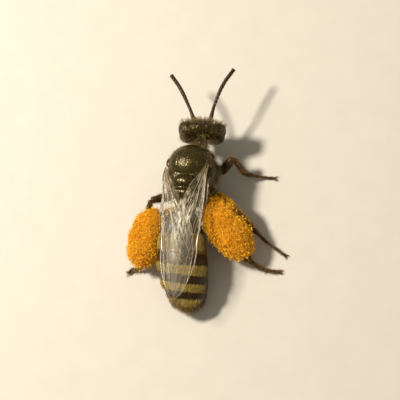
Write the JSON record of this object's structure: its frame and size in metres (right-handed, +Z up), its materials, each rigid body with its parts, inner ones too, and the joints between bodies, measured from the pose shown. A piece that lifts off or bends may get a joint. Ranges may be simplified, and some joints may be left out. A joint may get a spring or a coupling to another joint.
{
  "type": "bee",
  "caption": "Life-size standing furrow bee with wings folded over its banded abdomen, feelers raised and pollen loads round its hind legs.",
  "frame": {"origin": "centre of the bee's footprint box, on the floor it stands on", "axes": "+Y ahead of the bee, +X to its right, +Z up"},
  "size_m": [0.0084, 0.0122, 0.0032],
  "materials": {
    "shell": "dark olive-bronze cuticle, finely pitted, satin",
    "rings": "dark brown cuticle with pale felt bands, satin",
    "eyes": "dark brown faceted eye, glossy",
    "feelers": "dark red-brown cuticle, satin",
    "legs": "dark red-brown cuticle with fine pale hairs",
    "wings": "smoky see-through membrane with brown veins",
    "tegula": "amber brown, glossy",
    "pollen": "orange pollen grains, matt",
    "mouth": "dark red-brown cuticle, satin"
  },
  "bodies": {
    "root": {"head": "shell", "clypeus": "shell", "mouthparts": "mouth", "neck": "mouth", "scutum": "shell", "scutellum": "shell", "metanotum": "shell", "pronotum": "shell", "propodeum": "shell", "waist": "rings", "abdomen_1": "rings", "abdomen_2": "rings", "abdomen_3": "rings", "abdomen_4": "rings", "abdomen_5": "rings", "abdomen_6": "rings", "eye_left": "eyes", "mandible_left": "mouth", "scape_left": "feelers", "flagellum_left": "feelers", "tegula_left": "tegula", "hindwing_left": "wings", "pollen_left": "pollen", "eye_right": "eyes", "mandible_right": "mouth", "scape_right": "feelers", "flagellum_right": "feelers", "tegula_right": "tegula", "hindwing_right": "wings", "pollen_right": "pollen", "forewing_left": "wings", "forewing_right": "wings", "coxa_fore_left": "legs", "femur_fore_left": "legs", "tibia_fore_left": "legs", "tarsus_fore_left": "legs", "coxa_fore_right": "legs", "femur_fore_right": "legs", "tibia_fore_right": "legs", "tarsus_fore_right": "legs", "coxa_mid_left": "legs", "femur_mid_left": "legs", "tibia_mid_left": "legs", "tarsus_mid_left": "legs", "coxa_mid_right": "legs", "femur_mid_right": "legs", "tibia_mid_right": "legs", "tarsus_mid_right": "legs", "coxa_hind_left": "legs", "femur_hind_left": "legs", "tibia_hind_left": "legs", "tarsus_hind_left": "legs", "coxa_hind_right": "legs", "femur_hind_right": "legs", "tibia_hind_right": "legs", "tarsus_hind_right": "legs"}
  },
  "joints": []
}
